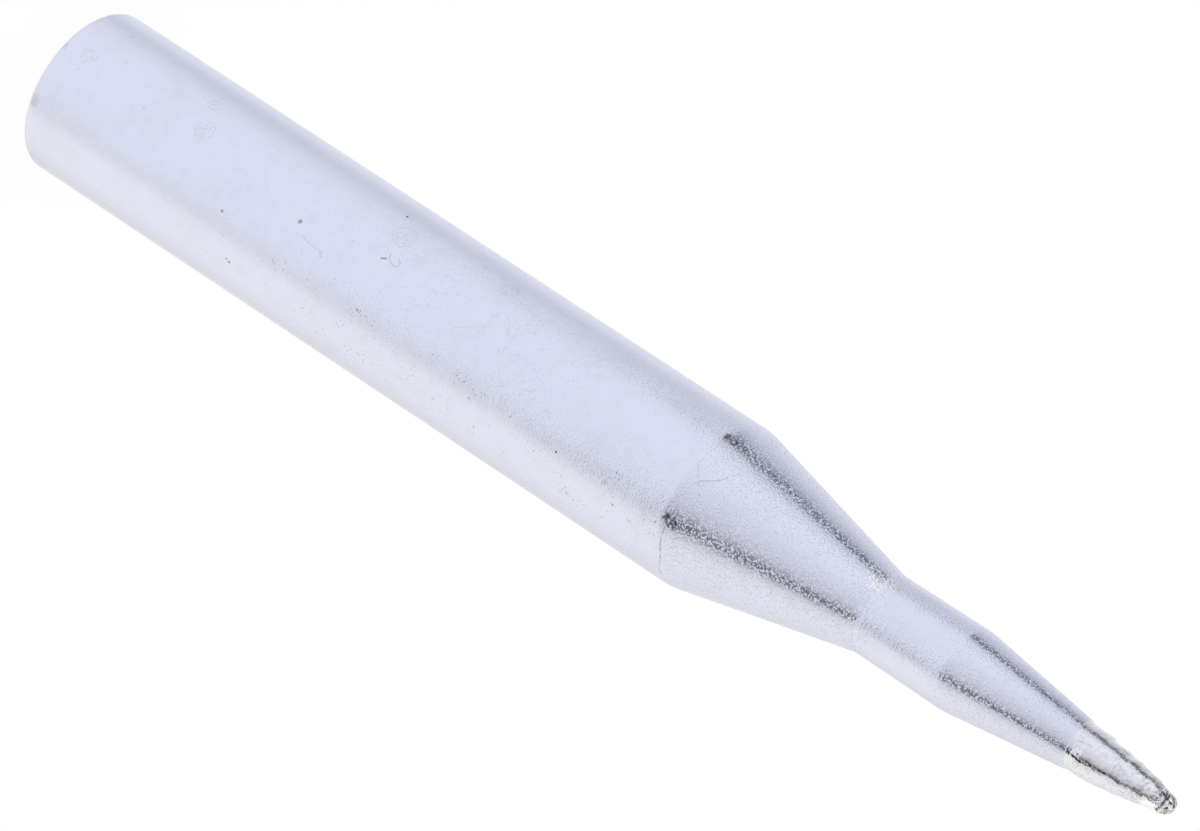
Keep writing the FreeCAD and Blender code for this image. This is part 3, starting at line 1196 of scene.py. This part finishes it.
# Studio tent that the metal mirrors: a bright room with two dark gaps. Azimuth is in
# degrees from the camera's side towards +X, and brightness 1 is the white of the walls.
COOL = (0.99, 1.0, 1.072)
WARM = (1.0, 1.0, 0.995)
DUSK = (1.01, 1.0, 1.085)
NIGHT = (0.975, 1.0, 1.13)


def tint(colour, brightness):
    """Colour at a brightness."""
    return tuple(channel * brightness for channel in colour)


UPPER_TENT = (
    (-180, WARM, 0.90),
    (-150, COOL, 0.86),
    (-133, COOL, 0.83),
    (-118, COOL, 0.72),
    (-104, NIGHT, 0.58),
    (-96, NIGHT, 0.42),
    (-90, NIGHT, 0.23),
    (-84.5, NIGHT, 0.15),
    (-80, NIGHT, 0.22),
    (-73, COOL, 0.70),
    (-62, COOL, 0.88),
    (-44, COOL, 0.945),
    (-28, COOL, 0.91),
    (-8, COOL, 0.83),
    (8, COOL, 0.76),
    (20, COOL, 0.68),
    (30, DUSK, 0.54),
    (37, DUSK, 0.31),
    (43.5, DUSK, 0.13),
    (49, DUSK, 0.20),
    (56, WARM, 0.68),
    (66, WARM, 0.89),
    (80, WARM, 0.96),
    (98, WARM, 0.985),
    (122, WARM, 0.94),
    (145, WARM, 0.87),
    (180, WARM, 0.90),
)
LOWER_TENT = (
    (-180, WARM, 0.90),
    (-155, COOL, 0.86),
    (-140, COOL, 0.84),
    (-126, COOL, 0.76),
    (-115, COOL, 0.735),
    (-104, COOL, 0.80),
    (-92, COOL, 0.87),
    (-74, COOL, 0.91),
    (-45, COOL, 0.93),
    (10, COOL, 0.93),
    (30, COOL, 0.93),
    (42, COOL, 0.91),
    (54, WARM, 0.875),
    (62, WARM, 0.94),
    (71, WARM, 1.0),
    (86, WARM, 1.0),
    (106, WARM, 0.995),
    (125, WARM, 0.94),
    (140, WARM, 0.87),
    (153, WARM, 0.85),
    (180, WARM, 0.90),
)

# Elevations in degrees between which the lower half of the tent turns into the upper one,
# and then into the ceiling
TENT_SEAM = (-28.0, -20.5)
CEILING_SEAM = (20.0, 55.0)
CEILING = 0.95


def tent_colour(graph, around, stops):
    """Colour of the tent all round, from stops of azimuth, colour and brightness."""
    colours = [((azimuth + 180) / 360, tint(colour, level)) for azimuth, colour, level in stops]
    return graph.ramp(around, colours)


def make_world():
    """Plain white world, which the object sees as a tent with two soft dark gaps."""
    world = bpy.data.worlds.new("studio")
    bpy.context.scene.world = world
    world.use_nodes = True
    graph = Graph(world.node_tree)
    output = graph.add("ShaderNodeOutputWorld")
    direction = graph.add("ShaderNodeTexCoord").outputs["Generated"]
    parts = graph.add("ShaderNodeSeparateXYZ", {"Vector": direction}).outputs
    toward_camera = graph.math("MULTIPLY", parts["Y"], -1.0)
    azimuth = graph.math("ARCTAN2", parts["X"], toward_camera)
    around = graph.math("ADD", graph.math("DIVIDE", azimuth, 2 * math.pi), 0.5)
    elevation = graph.math("DEGREES", graph.math("ARCSINE", parts["Z"]))
    upper = tent_colour(graph, around, UPPER_TENT)
    lower = tent_colour(graph, around, LOWER_TENT)
    tent = graph.mix(graph.band(elevation, *TENT_SEAM), lower, upper)
    tent = graph.mix(graph.band(elevation, *CEILING_SEAM), tent, (*tint(WARM, CEILING), 1.0))
    rays = graph.add("ShaderNodeLightPath").outputs
    seen = graph.math("MAXIMUM", rays["Is Camera Ray"], rays["Is Transmission Ray"])
    colour = graph.mix(seen, tent, WHITE)
    background = graph.add("ShaderNodeBackground", {"Color": colour, "Strength": 1.0})
    graph.join(background.outputs[0], output.inputs["Surface"])


# Camera, as the photograph was taken: a long lens, above the tip and rolled
VIEW_ELEVATION = math.radians(28.57)
VIEW_ROLL = math.radians(33.336)
VIEW_LENS = 320.9
SENSOR_WIDTH = 36.0
NEAREST_IN_METRES = 0.01
FARTHEST_IN_METRES = 10.0
REAR_CENTRE_IN_VIEW = Vector((-18.8717, 11.912, -392.36))


def make_camera():
    """Camera whose view holds the centre of the rear face at REAR_CENTRE_IN_VIEW."""
    across = Vector((-math.sin(VIEW_ROLL), -math.cos(VIEW_ROLL), 0))
    axis = Vector(
        (
            math.cos(VIEW_ELEVATION) * math.cos(VIEW_ROLL),
            -math.cos(VIEW_ELEVATION) * math.sin(VIEW_ROLL),
            math.sin(VIEW_ELEVATION),
        )
    )
    away = axis.cross(across)
    to_view = Matrix((across, away, axis)).transposed()
    turn = to_view.transposed()
    data = bpy.data.cameras.new("camera")
    data.sensor_width = SENSOR_WIDTH
    data.lens = VIEW_LENS
    data.clip_start = NEAREST_IN_METRES
    data.clip_end = FARTHEST_IN_METRES
    camera = bpy.data.objects.new("camera", data)
    camera.matrix_world = Matrix.Translation(turn @ (-REAR_CENTRE_IN_VIEW) * MM) @ turn.to_4x4()
    bpy.context.scene.collection.objects.link(camera)
    bpy.context.scene.camera = camera


body = make_plated_body()
body.data.materials.append(plating_material())
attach(body, "root")
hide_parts("tip_body")

solder = make_solder()
mark_solder(solder)
solder.data.materials.append(solder_material())
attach(solder, "root")
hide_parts("solder_coat")

make_floor()
make_world()
make_camera()
bpy.context.scene.view_settings.view_transform = "Standard"
